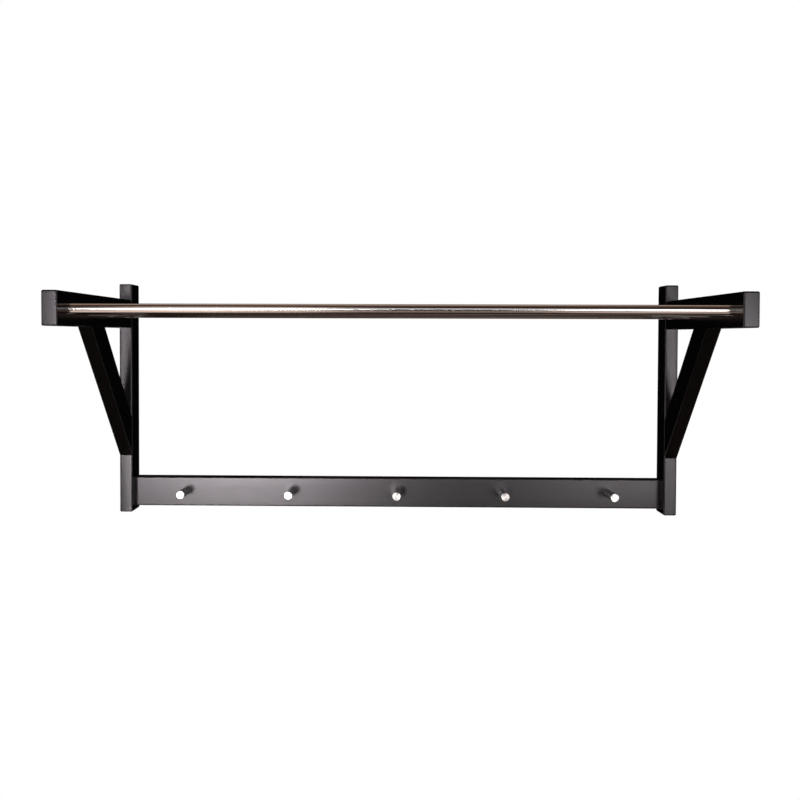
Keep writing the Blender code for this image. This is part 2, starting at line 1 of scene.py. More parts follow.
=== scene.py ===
# %% [markdown]
# # A wall coat rack, from solids to a finished picture
#
# The rack is two black lacquered wooden brackets, a hat shelf of four bright steel tubes between their
# arms, and a hook rail with five turned steel pegs between their uprights. The solids are already there,
# at their real size, each piece by itself. This lesson gives them what solids lack: finishes, smooth
# shading, square ends at the joints, finer round pieces, a camera and a studio to reflect.
#
# The first cell loads the solids as a fixed frame and keeps the box that they fill.

# %% Load the solids
import json
import math

import bmesh
import bpy
from mathutils import Matrix, Vector


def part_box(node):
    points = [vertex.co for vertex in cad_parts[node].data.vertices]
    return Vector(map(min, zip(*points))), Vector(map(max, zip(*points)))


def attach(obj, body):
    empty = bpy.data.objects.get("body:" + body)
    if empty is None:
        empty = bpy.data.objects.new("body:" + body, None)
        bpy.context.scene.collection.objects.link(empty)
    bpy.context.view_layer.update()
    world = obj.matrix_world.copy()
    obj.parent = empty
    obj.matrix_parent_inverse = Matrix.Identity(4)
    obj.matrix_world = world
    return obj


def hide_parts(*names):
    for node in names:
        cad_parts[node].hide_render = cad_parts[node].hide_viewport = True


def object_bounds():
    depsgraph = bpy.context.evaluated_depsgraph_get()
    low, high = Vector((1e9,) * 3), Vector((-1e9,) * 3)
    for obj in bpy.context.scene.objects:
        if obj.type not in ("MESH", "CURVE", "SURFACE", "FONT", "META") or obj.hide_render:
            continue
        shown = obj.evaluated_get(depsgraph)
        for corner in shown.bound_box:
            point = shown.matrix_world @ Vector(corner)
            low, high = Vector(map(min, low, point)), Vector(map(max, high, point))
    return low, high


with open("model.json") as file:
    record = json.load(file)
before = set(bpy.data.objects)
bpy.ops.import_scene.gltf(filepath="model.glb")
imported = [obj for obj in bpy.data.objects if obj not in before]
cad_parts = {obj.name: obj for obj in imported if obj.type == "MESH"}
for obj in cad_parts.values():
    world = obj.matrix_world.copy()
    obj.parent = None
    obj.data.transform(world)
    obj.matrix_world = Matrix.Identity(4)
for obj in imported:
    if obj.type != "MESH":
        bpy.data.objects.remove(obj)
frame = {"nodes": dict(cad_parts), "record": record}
solids_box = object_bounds()

MM = 0.001
nodes = frame["nodes"]
size_of_solids = solids_box[1] - solids_box[0]
print("solids:", len(nodes), "box in mm:", [round(side / MM, 1) for side in size_of_solids])

# %% [markdown]
# ## The camera
#
# The picture was taken from straight in front, a little below the shelf, from a good arm's length beyond
# the arms. A camera in Blender looks along its own -Z, so it is first stood up by a quarter turn about X.
# The small turn, tilt and lean were found by fitting the rack's corners, and so was the lens. The picture
# was cropped off centre, which a lens shift repeats without bending the perspective.

# %% Set up the camera
CAMERA_PLACE = Vector((-2.44, -1409.03, -30.22)) * MM
CAMERA_TURN = 0.0213  # radians to the left
CAMERA_TILT = -0.02546  # radians, downwards
CAMERA_LEAN = 0.00325  # radians, anticlockwise as seen through the lens
LENS = 43.557  # mm, on a sensor 36 mm wide
CROP_SHIFT = (0.0317, -0.0491)  # shares of the picture's width

lens = bpy.data.cameras.new("front_camera")
lens.lens = LENS
lens.shift_x, lens.shift_y = CROP_SHIFT
lens.dof.use_dof = False
camera = bpy.data.objects.new("front_camera", lens)
upright_view = Matrix.Rotation(math.pi / 2 + CAMERA_TILT, 4, "X") @ Matrix.Rotation(CAMERA_LEAN, 4, "Z")
camera.matrix_world = Matrix.Translation(CAMERA_PLACE) @ Matrix.Rotation(CAMERA_TURN, 4, "Z") @ upright_view
bpy.context.scene.collection.objects.link(camera)
bpy.context.scene.camera = camera
print("camera", round(-CAMERA_PLACE.y, 3), "m in front of the wall plane")

# %% [markdown]
# ## One helper for every node
#
# Materials, lights, the world and a modifier are all node trees. One small function adds a node, sets its
# options and input values, and links its inputs. Colours are written as hex values, as they look on a
# screen, and one function turns them into the linear values that a renderer works with.

# %% Helpers for node trees
def linear(hex_colour):
    """Linear RGBA of a colour such as #c8a070."""
    levels = [int(hex_colour[k:k + 2], 16) / 255 for k in (1, 3, 5)]
    return (*[v / 12.92 if v <= 0.04045 else ((v + 0.055) / 1.055) ** 2.4 for v in levels], 1.0)


def add_node(tree, kind, inputs=None, **options):
    """Adds a node. An input is given by name or number, as a value or as another node's output."""
    node = tree.nodes.new(kind)
    for name, value in options.items():
        setattr(node, name, value)
    for name, value in (inputs or {}).items():
        if isinstance(value, bpy.types.NodeSocket):
            tree.links.new(value, node.inputs[name])
        else:
            node.inputs[name].default_value = value
    return node


print("linear mid grey:", round(linear("#808080")[0], 3))

# %% [markdown]
# ## The studio: what a black rack reflects
#
# Black lacquer and polished steel have hardly a colour of their own: what the eye sees is the studio in
# them. The picture shows a strong soft light in front on the left, a weaker one on the right and darkness
# between and behind them. Each light here is a softbox, an area light that is brightest in its middle,
# because the lamp sits behind the middle of the cloth. A light's brightness is set as radiance, so that
# a bigger box doesn't look dimmer in a reflection.
#
# A grid is a honeycomb in front of the cloth that lets light out only within a narrow angle. Blender calls
# that angle spread and makes the middle of the beam brighter the narrower it is. Here the radiance in the
# middle should stay as given, so that gain is divided out.

# %% A softbox
RACK_MIDDLE = (solids_box[0] + solids_box[1]) / 2
EDGE_OF_CLOTH = 0.3  # brightness at a softbox's edge beside its middle
MIDDLE_OF_CLOTH = (0.5, 0.5, 0)  # in the cloth's own coordinates, which run from 0 to 1


def softbox(name, place, size, radiance, tint, edge=EDGE_OF_CLOTH, aim=RACK_MIDDLE, grid=None):
    """An area light that faces aim, with the given radiance in its middle and a grid's half angle."""
    box = bpy.data.lights.new(name, "AREA")
    box.shape = "RECTANGLE"
    box.size, box.size_y = size
    box.energy = radiance * math.pi * size[0] * size[1]
    if grid:
        box.spread = 2 * grid
        box.energy *= 1 - grid / math.tan(grid)
    box.color = linear(tint)[:3]
    box.use_nodes = True
    tree = box.node_tree
    tree.nodes.clear()
    cloth = add_node(tree, "ShaderNodeNewGeometry").outputs["Parametric"]
    from_middle = add_node(
        tree, "ShaderNodeVectorMath", {0: cloth, 1: MIDDLE_OF_CLOTH}, operation="DISTANCE"
    ).outputs["Value"]
    fade = add_node(
        tree,
        "ShaderNodeMapRange",
        {"Value": from_middle, "From Max": 0.5, "To Min": 1, "To Max": edge},
        interpolation_type="SMOOTHSTEP",
    )
    glow = add_node(tree, "ShaderNodeEmission", {"Strength": fade.outputs["Result"]})
    add_node(tree, "ShaderNodeOutputLight", {"Surface": glow.outputs[0]})
    stand = bpy.data.objects.new(name, box)
    stand.location = place
    stand.rotation_euler = (Vector(aim) - Vector(place)).to_track_quat("-Z", "Y").to_euler()
    stand.visible_camera = False
    bpy.context.scene.collection.objects.link(stand)
    return stand


print("softboxes face", [round(v, 3) for v in RACK_MIDDLE], "unless they are aimed elsewhere")

# %% [markdown]
# Four lights stand in front. The key on the left gives the lacquer its broad sheen and the tubes their
# white line, and its grid keeps most of it off the right half. The second does the same on the right. A
# tall, dim white board lightens the band above the white line, and a cool fill carries the line on, weaker,
# between the two.

# %% Lights in front
KEY_AIM = (-0.25, -0.1, -0.14)  # the left half of the rack
KEY_GRID = math.radians(14)

# Each has its place and size in metres, its radiance and its tint.
key = softbox(
    "key_softbox", (-0.6, -2.3, -0.29), (0.7, 0.92), 106, "#fffcfd", edge=0.02, aim=KEY_AIM, grid=KEY_GRID
)
second = softbox("second_softbox", (0.9, -2.2, -0.26), (0.88, 1.06), 15.5, "#fffcfd", edge=0.06)
board = softbox("white_board", (-0.49, -1.75, -0.2), (0.62, 3.6), 1.0, "#fff4ec", edge=0.7)
fill = softbox("front_fill", (0.1, -2.75, 0.55), (2.2, 1.1), 1.05, "#ecf2ff", edge=0.6)
print("lights in front:", [lamp.name for lamp in (key, second, board, fill)])

# %% [markdown]
# The tubes also mirror what is above, behind and below. A dim panel above and behind gives their top edge
# its line. Three warm panels that lie low in front give the paler band under the white line: it fades in
# the middle of the tubes, so the middle panel is the dimmest. A small glow below and behind gives the
# lowest line.

# %% Panels above and below
WARM = "#ffe9e2"
LOW = -1.5  # height of the low panels
LOW_FRONT = -3.1  # their front ends
LOW_WIDTH = 1.0
LOW_GLOWS = ((-0.72, -0.34, 1.15), (0.0, -0.7, 0.25), (0.72, -0.7, 0.8))  # x, rear end, radiance

top_panel = softbox("top_panel", (0, 0.45, 1.6), (3.0, 1.2), 0.8, "#fff0e4")
low_glows = []
for k, (x, rear, radiance) in enumerate(LOW_GLOWS, 1):
    middle = (LOW_FRONT + rear) / 2
    size = (LOW_WIDTH, rear - LOW_FRONT)
    low_glows.append(
        softbox(f"low_glow_{k}", (x, middle, LOW), size, radiance, WARM, edge=0.7, aim=(x, middle, 0))
    )
wall_glow = softbox("wall_glow", (0.2, 0.6, -0.9), (1.5, 0.6), 0.45, WARM)
print("panels:", [panel.name for panel in (top_panel, wall_glow, *low_glows)])

# %% [markdown]
# The rack is also looked at from its sides and from behind. Two boxes on each side and a low glow behind
# are outside what the front view's faces reflect, and give the other faces their sheen.

# %% Lights at the sides and behind
SIDES = (-2.2, 2.2)

rear_glow = softbox("rear_glow", (0, 2.2, -1.35), (3.0, 0.6), 4, "#ffffff")
rear_boxes = []
for k, x in enumerate(SIDES, 1):
    rear_boxes.append(softbox(f"rear_softbox_{k}", (x, 1.0, -0.2), (0.9, 2.0), 3, "#ffffff"))
side_boxes = []
for k, x in enumerate(SIDES, 1):
    side_boxes.append(softbox(f"side_softbox_{k}", (x, -1.1, 0.1), (2.2, 1.8), 2, "#fff8f2", edge=0.5))
print("beside and behind:", [box.name for box in (rear_glow, *rear_boxes, *side_boxes)])

# %% [markdown]
# In a studio, a flag is a black card on a stand that keeps one lamp's light off one piece. A card would be
# seen in the tubes, so Blender's light linking does its work here: a lamp gets a collection of pieces that
# it doesn't light. It is used twice below, once the pieces are there: the braces are black in the picture,
# so the low panels are kept off them, and the glow behind would give the tubes a line too many.

# %% Flags
def flag_off(name, lamps, pieces):
    """Keeps the light of some lamps off some pieces."""
    shaded = bpy.data.collections.new(name)
    for piece in pieces:
        shaded.objects.link(piece)
        shaded.collection_objects[-1].light_linking.link_state = "EXCLUDE"
    for lamp in lamps:
        lamp.light_linking.receiver_collection = shaded
    print(name, [lamp.name for lamp in lamps], "off", len(pieces), "pieces")


# %% [markdown]
# The picture's background is plain white, yet the lacquer's side faces are almost black: white surrounds
# would have turned them grey. So the world is white where the camera looks straight at it and a dark, warm
# room where surfaces reflect it, a little lighter overhead and underfoot.

# %% World
WALLS_END = 0.6  # a direction's rise or fall, of 1 at most, where the walls give way to ceiling or ground

world = bpy.data.worlds.new("white_backdrop_dark_room")
bpy.context.scene.world = world
world.use_nodes = True
tree = world.node_tree
tree.nodes.clear()
looking = add_node(tree, "ShaderNodeTexCoord").outputs["Generated"]
height = add_node(tree, "ShaderNodeSeparateXYZ", {0: looking}).outputs["Z"]
overhead = add_node(tree, "ShaderNodeMapRange", {"Value": height, "From Min": WALLS_END, "From Max": 1})
underfoot = add_node(tree, "ShaderNodeMapRange", {"Value": height, "From Min": -WALLS_END, "From Max": -1})
wall_to_ceiling = add_node(
    tree,
    "ShaderNodeMix",
    {"Factor": overhead.outputs["Result"], 6: linear("#080606"), 7: linear("#6a5046")},
    data_type="RGBA",
).outputs[2]
room_colour = add_node(
    tree,
    "ShaderNodeMix",
    {"Factor": underfoot.outputs["Result"], 6: wall_to_ceiling, 7: linear("#352923")},
    data_type="RGBA",
).outputs[2]
room = add_node(tree, "ShaderNodeBackground", {"Color": room_colour})
backdrop = add_node(tree, "ShaderNodeBackground", {"Color": linear("#ffffff")})
seen_directly = add_node(tree, "ShaderNodeLightPath").outputs["Is Camera Ray"]
both = add_node(
    tree, "ShaderNodeMixShader", {0: seen_directly, 1: room.outputs[0], 2: backdrop.outputs[0]}
)
add_node(tree, "ShaderNodeOutputWorld", {"Surface": both.outputs[0]})
bpy.context.scene.view_settings.view_transform = "Standard"
print("world:", world.name)

# %% [markdown]
# ## The floor
#
# The rack hangs with its shelf about head high, so the floor lies well below it, under the picture's edge.
# It is painted a pale warm white, matt, with faint clouds where the roller overlapped. An overhead light
# that only matt surfaces take up keeps it pale in every view, and the floor is left out of mirror-like
# reflections for the same reason.

# %% Floor
SHELF_HEIGHT = 1.65  # m above the floor
FLOOR_REACH = 2.6  # m to the sides and to the front
FLOOR_BEHIND = 1.4  # m behind the wall plane, just short of the picture's lower edge
ROLLER_CLOUD = 120 * MM

corners = [
    (-FLOOR_REACH, -FLOOR_REACH),
    (FLOOR_REACH, -FLOOR_REACH),
    (FLOOR_REACH, FLOOR_BEHIND),
    (-FLOOR_REACH, FLOOR_BEHIND),
]
floor_mesh = bpy.data.meshes.new("studio_floor")
floor_mesh.from_pydata([(x, y, -SHELF_HEIGHT) for x, y in corners], [], [(0, 1, 2, 3)])
floor = bpy.data.objects.new("studio_floor", floor_mesh)
floor.visible_glossy = False
bpy.context.scene.collection.objects.link(floor)

paint = bpy.data.materials.new("pale_floor_paint")
paint.use_nodes = True
tree = paint.node_tree
shader = tree.nodes["Principled BSDF"]
shader.inputs["Roughness"].default_value = 0.8
clouds = add_node(tree, "ShaderNodeTexNoise", {"Scale": 1 / ROLLER_CLOUD, "Detail": 4}).outputs["Fac"]
cover = add_node(
    tree, "ShaderNodeMix", {"Factor": clouds, 6: linear("#efedea"), 7: linear("#f6f4f1")}, data_type="RGBA"
)
tree.links.new(cover.outputs[2], shader.inputs["Base Color"])
floor_mesh.materials.append(paint)

floor_light = softbox("floor_light", (0, -0.6, 2.4), (5, 5), 3.4, "#ffffff", edge=0.8, aim=(0, -0.6, 0))
floor_light.visible_glossy = False
print("floor", SHELF_HEIGHT, "m below the shelf")

# %% [markdown]
# ## Black satin lacquer on wood
#
# The boards are planed hardwood, sprayed black and rubbed to a satin: the surface has gloss enough to hold
# a broad blurred reflection, and no more. Looked at along the surface, the fine scratches of the rubbing
# hide each other, and the same film turns glossy. That is why the boards' side faces stay so dark: they
# mirror the dark room instead of blurring the lights into it. Layer Weight gives that change with the
# slant. The black pigment leaves the sheen a trace of purple.
#
# Under the film the wood's pores still show as fine dents along the grain, on end faces as dots, and the
# sprayed film has a slight orange-peel swell. Both are bumps in solid coordinates, stretched along each
# board's own grain, so that faces and ends agree with each other. Painted lines would look the same on
# every face, so a solid pattern was chosen.

# %% The lacquer
PORE_WIDTH = 0.9 * MM  # about 0.1 mm in the wood, drawn coarser so that it shows
PORE_LENGTH = 14 * MM
PEEL_SIZE = 0.8 * MM  # from crest to crest of the sprayed film
PORE_DEPTH = 0.02 * MM
PEEL_DEPTH = 0.02 * MM
RUBBED = (0.3, 0.36)  # roughness of a rubbed film, over pores and between them
SLANT = (0.35, 0.7)  # from here to here, from 0 face on to 1 edge on, the film turns glossy
SLANT_ROUGHNESS = 0.35  # share of the roughness that is left then


def black_satin_lacquer(name, grain):
    """Sprayed and rubbed lacquer over wood whose grain runs along the given direction."""
    made = bpy.data.materials.new(name)
    made.use_nodes = True
    tree = made.node_tree
    shader = tree.nodes["Principled BSDF"]
    shader.inputs["IOR"].default_value = 1.5
    shader.inputs["Specular Tint"].default_value = linear("#fff9fe")
    solid = add_node(tree, "ShaderNodeTexCoord").outputs["Object"]
    turn = Vector((1, 0, 0)).rotation_difference(Vector(grain)).to_euler()
    along = add_node(
        tree,
        "ShaderNodeMapping",
        {"Vector": solid, "Rotation": turn, "Scale": (PORE_LENGTH / PORE_WIDTH, 1, 1)},
        vector_type="TEXTURE",
    ).outputs["Vector"]
    pores = add_node(
        tree, "ShaderNodeTexNoise", {"Vector": along, "Scale": 1 / PORE_WIDTH, "Detail": 3}
    ).outputs["Fac"]
    peel = add_node(
        tree, "ShaderNodeTexNoise", {"Vector": solid, "Scale": 1 / PEEL_SIZE, "Detail": 1}
    ).outputs["Fac"]
    tone = add_node(
        tree, "ShaderNodeMix", {"Factor": pores, 6: linear("#020202"), 7: linear("#040304")}, data_type="RGBA"
    )
    rubbed = add_node(
        tree,
        "ShaderNodeMapRange",
        {"Value": pores, "From Min": 0.3, "From Max": 0.7, "To Min": RUBBED[0], "To Max": RUBBED[1]},
    )
    slant = add_node(tree, "ShaderNodeLayerWeight", {"Blend": 0.5}).outputs["Facing"]
    gloss = add_node(
        tree,
        "ShaderNodeMapRange",
        {"Value": slant, "From Min": SLANT[0], "From Max": SLANT[1], "To Min": 1, "To Max": SLANT_ROUGHNESS},
    )
    satin = add_node(
        tree,
        "ShaderNodeMath",
        {0: rubbed.outputs["Result"], 1: gloss.outputs["Result"]},
        operation="MULTIPLY",
    )
    swell = add_node(tree, "ShaderNodeBump", {"Strength": 1, "Distance": PEEL_DEPTH, "Height": peel})
    dents = add_node(
        tree,
        "ShaderNodeBump",
        {"Strength": 0.4, "Distance": PORE_DEPTH, "Height": pores, "Normal": swell.outputs[0]},
    )
    tree.links.new(tone.outputs[2], shader.inputs["Base Color"])
    tree.links.new(satin.outputs[0], shader.inputs["Roughness"])
    tree.links.new(dents.outputs[0], shader.inputs["Normal"])
    return made


GRAIN = {"upright": (0, 0, 1), "arm": (0, 1, 0), "brace": (0, 1, -1), "rail": (1, 0, 0)}
lacquer = {}
for stock, grain in GRAIN.items():
    lacquer[stock] = black_satin_lacquer(f"black_satin_lacquer_{stock}", grain)
print("lacquers:", [made.name for made in lacquer.values()])

# %% [markdown]
# ## Smooth shading for the solids
#
# The solids come as flat triangles, and a rounded arris of three flats would catch the light as three
# stripes. Changing the meshes isn't wanted, so two modifiers do it on top: a node tree joins the triangles
# at their corners and keeps only edges sharper than forty degrees hard, and Weighted Normal lets the large
# faces stay flat up to the start of their rounding.

# %% Modifiers that smooth a solid
HARD_EDGE = math.radians(40)
SAME_POINT = 0.001 * MM

tree = bpy.data.node_groups.new("joined_facets", "GeometryNodeTree")
tree.interface.new_socket("Geometry", in_out="INPUT", socket_type="NodeSocketGeometry")
tree.interface.new_socket("Geometry", in_out="OUTPUT", socket_type="NodeSocketGeometry")
loose = add_node(tree, "NodeGroupInput").outputs[0]
joined = add_node(tree, "GeometryNodeMergeByDistance", {"Geometry": loose, "Distance": SAME_POINT}).outputs[0]
bend = add_node(tree, "GeometryNodeInputMeshEdgeAngle").outputs["Unsigned Angle"]
hard = add_node(tree, "FunctionNodeCompare", {0: bend, 1: HARD_EDGE}, operation="GREATER_THAN").outputs[0]
shaded = add_node(
    tree,
    "GeometryNodeSetMeshNormal",
    {"Mesh": joined, "Remove Custom": True, "Edge Sharpness": hard, "Face Sharpness": False},
    mode="SHARPNESS",
)
add_node(tree, "NodeGroupOutput", {0: shaded.outputs[0]})
joined_facets = tree
print("modifier:", joined_facets.name, "with", len(joined_facets.nodes), "nodes")

# %% Dress the boards
def smooth(solid):
    """Joins a solid's facets and keeps its large faces flat."""
    solid.modifiers.new("joined_facets", "NODES").node_group = joined_facets
    solid.modifiers.new("flat_faces_stay_flat", "WEIGHTED_NORMAL").keep_sharp = True


def dress(node, finish):
    """Gives a solid its finish and smooth shading."""
    nodes[node].material_slots[0].material = finish
    smooth(nodes[node])


BOARDS = {"hook_rail": "rail"}
for side in ("left", "right"):
    for stock in ("upright", "arm", "brace"):
        BOARDS[f"{side}_{stock}"] = stock
for node, stock in BOARDS.items():
    dress(node, lacquer[stock])
print("boards dressed in lacquer:", len(BOARDS))

# %% [markdown]
# ## Square ends at the joints
#
# The solids have all their edges rounded, also round the ends that butt against a neighbour, with a hair's
# gap there for the glue. On the real rack those ends are sawn square and meet their neighbour tightly. A
# thin collar at each end repeats the board's own cross-section, a tenth of a millimetre inside its faces,
# from the neighbour's face back to where the rounding starts. It is a ring, because dowels and bolts pass
# through the middle of the joint. The cross-section is measured on the solid, across the board's grain, and
# each of its corners slides along the grain to the end's plane, so square and 45 degree ends are alike.

# %% Measure a board and outline its cross-section
ARC_STEPS = 4


def reach(node, direction):
    """Lowest and highest distance of a solid's corners along a direction."""
    along = [corner.co.dot(direction) for corner in nodes[node].data.vertices]
    return min(along), max(along)


def rounded_rectangle(width, height, radius):
    """Corners of a rectangle with rounded corners, in order round its middle."""
    points = []
    for quarter, (side_u, side_v) in enumerate(((1, 1), (-1, 1), (-1, -1), (1, -1))):
        middle_u = side_u * (width / 2 - radius)
        middle_v = side_v * (height / 2 - radius)
        for k in range(ARC_STEPS + 1):
            angle = (quarter + k / ARC_STEPS) * math.pi / 2
            points.append((middle_u + radius * math.cos(angle), middle_v + radius * math.sin(angle)))
    return points


print("hook rail from", [round(end / MM, 1) for end in reach("hook_rail", Vector((1, 0, 0)))], "mm")

# %% A collar
COLLAR_INSET = 0.1 * MM
COLLAR_WALL = 4 * MM
COLLAR_DEPTH = 4 * MM
COLLAR_FRONT = 0.28 * MM  # past the board's end, just short of the neighbour
ROUNDING = 2 * MM  # of the boards' long edges
COLLAR_RINGS = (  # inset and depth of the four rings of corners, in order round the collar's wall
    (COLLAR_INSET, COLLAR_FRONT),
    (COLLAR_INSET, -COLLAR_DEPTH),
    (COLLAR_WALL, -COLLAR_DEPTH),
    (COLLAR_WALL, COLLAR_FRONT),
)


def collar(name, node, grain, facing, finish):
    """A ring that squares the end of a board, on the side that it faces."""
    grain = Vector(grain).normalized()
    facing = Vector(facing)
    across = Vector((0, 1, 0)) if grain.x else Vector((1, 0, 0))
    upward = grain.cross(across)
    low_u, high_u = reach(node, across)
    low_v, high_v = reach(node, upward)
    end = reach(node, facing)[1]
    shape = bmesh.new()
    rings = []
    for inset, depth in COLLAR_RINGS:
        ring = []
        for u, v in rounded_rectangle(high_u - low_u - 2 * inset, high_v - low_v - 2 * inset, ROUNDING):
            corner = across * ((low_u + high_u) / 2 + u) + upward * ((low_v + high_v) / 2 + v)
            slide = (end + depth - corner.dot(facing)) / grain.dot(facing)
            ring.append(shape.verts.new(corner + grain * slide))
        rings.append(ring)
    for one, next_one in zip(rings, rings[1:] + rings[:1]):
        for k in range(len(one)):
            shape.faces.new((one[k], one[k - 1], next_one[k - 1], next_one[k]))
    bmesh.ops.recalc_face_normals(shape, faces=shape.faces)
    mesh = bpy.data.meshes.new(name)
    shape.to_mesh(mesh)
    shape.free()
    mesh.materials.append(finish)
    made = bpy.data.objects.new(name, mesh)
    bpy.context.scene.collection.objects.link(made)
    smooth(made)
    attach(made, "root")
    print(name, "faces:", len(mesh.polygons))
    return made


# %% The collars
dark_pieces = []
for side, outward in (("left", -1), ("right", 1)):
    brace = f"{side}_brace"
    collar(f"{side}_arm_square_end", f"{side}_arm", (0, 1, 0), (0, 1, 0), lacquer["arm"])
    head = collar(f"{side}_brace_square_head", brace, (0, -1, 1), (0, 0, 1), lacquer["brace"])
    foot = collar(f"{side}_brace_square_foot", brace, (0, 1, -1), (0, 1, 0), lacquer["brace"])
    collar(f"{side}_rail_square_end", "hook_rail", (outward, 0, 0), (outward, 0, 0), lacquer["rail"])
    dark_pieces += [nodes[brace], head, foot]
flag_off("braces_flagged_off", low_glows, dark_pieces)

# %% [markdown]
# ## Bright drawn stainless tube
#
# The shelf tubes are thin-walled stainless, drawn bright through a die and then polished on a belt that
# runs round them. The belt's marks lie round the tube, and marks spread light across themselves. So a
# reflection stays crisp across the tube and is smeared along it, which turns the studio into long even
# bands. Anisotropy with a tangent that circles the tube's axis does that. The colour is steel's warm grey,
# a trace lighter and darker from mark to mark.

# %% The tube's finish
BELT_MARK = 0.8 * MM  # about 0.05 mm on the tube, drawn coarser so that it shows
BELT_LENGTH = 8 * MM

bright_drawn = bpy.data.materials.new("bright_drawn_stainless")
bright_drawn.use_nodes = True
tree = bright_drawn.node_tree
shader = tree.nodes["Principled BSDF"]
shader.inputs["Metallic"].default_value = 1
shader.inputs["Roughness"].default_value = 0.11
shader.inputs["Anisotropic"].default_value = 0.95
shader.inputs["Anisotropic Rotation"].default_value = 0.25  # a quarter turn: smeared along the tube
solid = add_node(tree, "ShaderNodeTexCoord").outputs["Object"]
round_the_tube = add_node(
    tree,
    "ShaderNodeMapping",
    {"Vector": solid, "Scale": (1, BELT_LENGTH / BELT_MARK, BELT_LENGTH / BELT_MARK)},
    vector_type="TEXTURE",
).outputs["Vector"]
belt_marks = add_node(
    tree, "ShaderNodeTexNoise", {"Vector": round_the_tube, "Scale": 1 / BELT_MARK, "Detail": 2}
).outputs["Fac"]
colour = add_node(
    tree,
    "ShaderNodeMix",
    {"Factor": belt_marks, 6: linear("#cbc4bd"), 7: linear("#d4cec8")},
    data_type="RGBA",
)
circling = add_node(tree, "ShaderNodeTangent", direction_type="RADIAL", axis="X")
tree.links.new(colour.outputs[2], shader.inputs["Base Color"])
tree.links.new(circling.outputs[0], shader.inputs["Tangent"])
print("finish:", bright_drawn.name)

# %% [markdown]
# The solids of tubes and pegs have 32 flats, and a mirror shows each of them, so finer pieces take their
# place. Each is a profile spun round its axis, as on a lathe, and a small bevel breaks its sharp edges. A
# tube's profile is a closed loop, because the tube is hollow. A peg's starts and ends on the axis.

# %% Turning a profile into a piece
TURNED_FACETS = 96
EDGE_BREAK = 0.15 * MM


def turned(name, profile, place, axis, finish):
    """A profile of (radius, distance) points spun round an axis through place."""
    shape = bmesh.new()
    points = [shape.verts.new((radius, 0, along)) for radius, along in profile]
    edges = [shape.edges.new(pair) for pair in zip(points, points[1:])]
    starts_off_axis = profile[0][0] > 0
    if starts_off_axis:
        edges.append(shape.edges.new((points[-1], points[0])))
    bmesh.ops.spin(
        shape,
        geom=points + edges,
        axis=(0, 0, 1),
        cent=(0, 0, 0),
        angle=2 * math.pi,
        steps=TURNED_FACETS,
        use_merge=True,
    )
    bmesh.ops.remove_doubles(shape, verts=shape.verts, dist=SAME_POINT)
    bmesh.ops.recalc_face_normals(shape, faces=shape.faces)
    turn = Vector((0, 0, 1)).rotation_difference(Vector(axis)).to_matrix()
    bmesh.ops.rotate(shape, verts=shape.verts, cent=(0, 0, 0), matrix=turn)
    mesh = bpy.data.meshes.new(name)
    shape.to_mesh(mesh)
    shape.free()
    mesh.shade_smooth()
    mesh.materials.append(finish)
    made = bpy.data.objects.new(name, mesh)
    made.location = place
    bpy.context.scene.collection.objects.link(made)
    arris = made.modifiers.new("broken_edges", "BEVEL")
    arris.width = EDGE_BREAK
    arris.segments = 3
    arris.limit_method = "ANGLE"
    arris.angle_limit = HARD_EDGE
    arris.harden_normals = True
    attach(made, "root")
    return made


# %% The tubes
TUBE_WALL = 1 * MM
TUBES = [f"shelf_tube_{k}" for k in (1, 2, 3, 4)]

tubes = []
for node in TUBES:
    low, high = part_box(node)
    middle = (low + high) / 2
    outer = (high.z - low.z) / 2
    inner = outer - TUBE_WALL
    end = (high.x - low.x) / 2
    wall = [(outer, end), (outer, -end), (inner, -end), (inner, end)]
    tube = turned(node.replace("shelf", "drawn"), wall, middle, (1, 0, 0), bright_drawn)
    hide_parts(node)
    tubes.append(tube)
    print(tube.name, "length", round(2 * end / MM, 1), "mm, diameter", round(2 * outer / MM, 1), "mm")
flag_off("tubes_flagged_off", [rear_glow], tubes)

# %% [markdown]
# ## Turned stainless pegs
#
# A peg is a plain pin from a lathe: a smooth shank, a small chamfer and a faced end, which the tool leaves
# rougher than the shank. Its rings are finer than the eye can part, and rings spread light across
# themselves. So the end face shows light and dark wedges that turn with the light, the mark of a turned
# face. An anisotropic highlight along a radial tangent does just that. Rings are also drawn, faintly, along
# the shank.

# %% The peg's finish
RING_SPACING = 2.513 * MM  # about 0.1 mm from the tool, drawn coarser so that the rings show
RING_DEPTH = 0.004 * MM
WAVE_FACTOR = 20  # Blender's rings are a sine of 20 times the scaled distance
FACED_DEPTH = 0.3 * MM
SHANK_ROUGHNESS = 0.12
FACED_ROUGHNESS = 0.36
rail_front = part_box("hook_rail")[0].y
FACED_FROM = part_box("peg_1")[0].y - rail_front + FACED_DEPTH  # from here to the tip a peg is faced


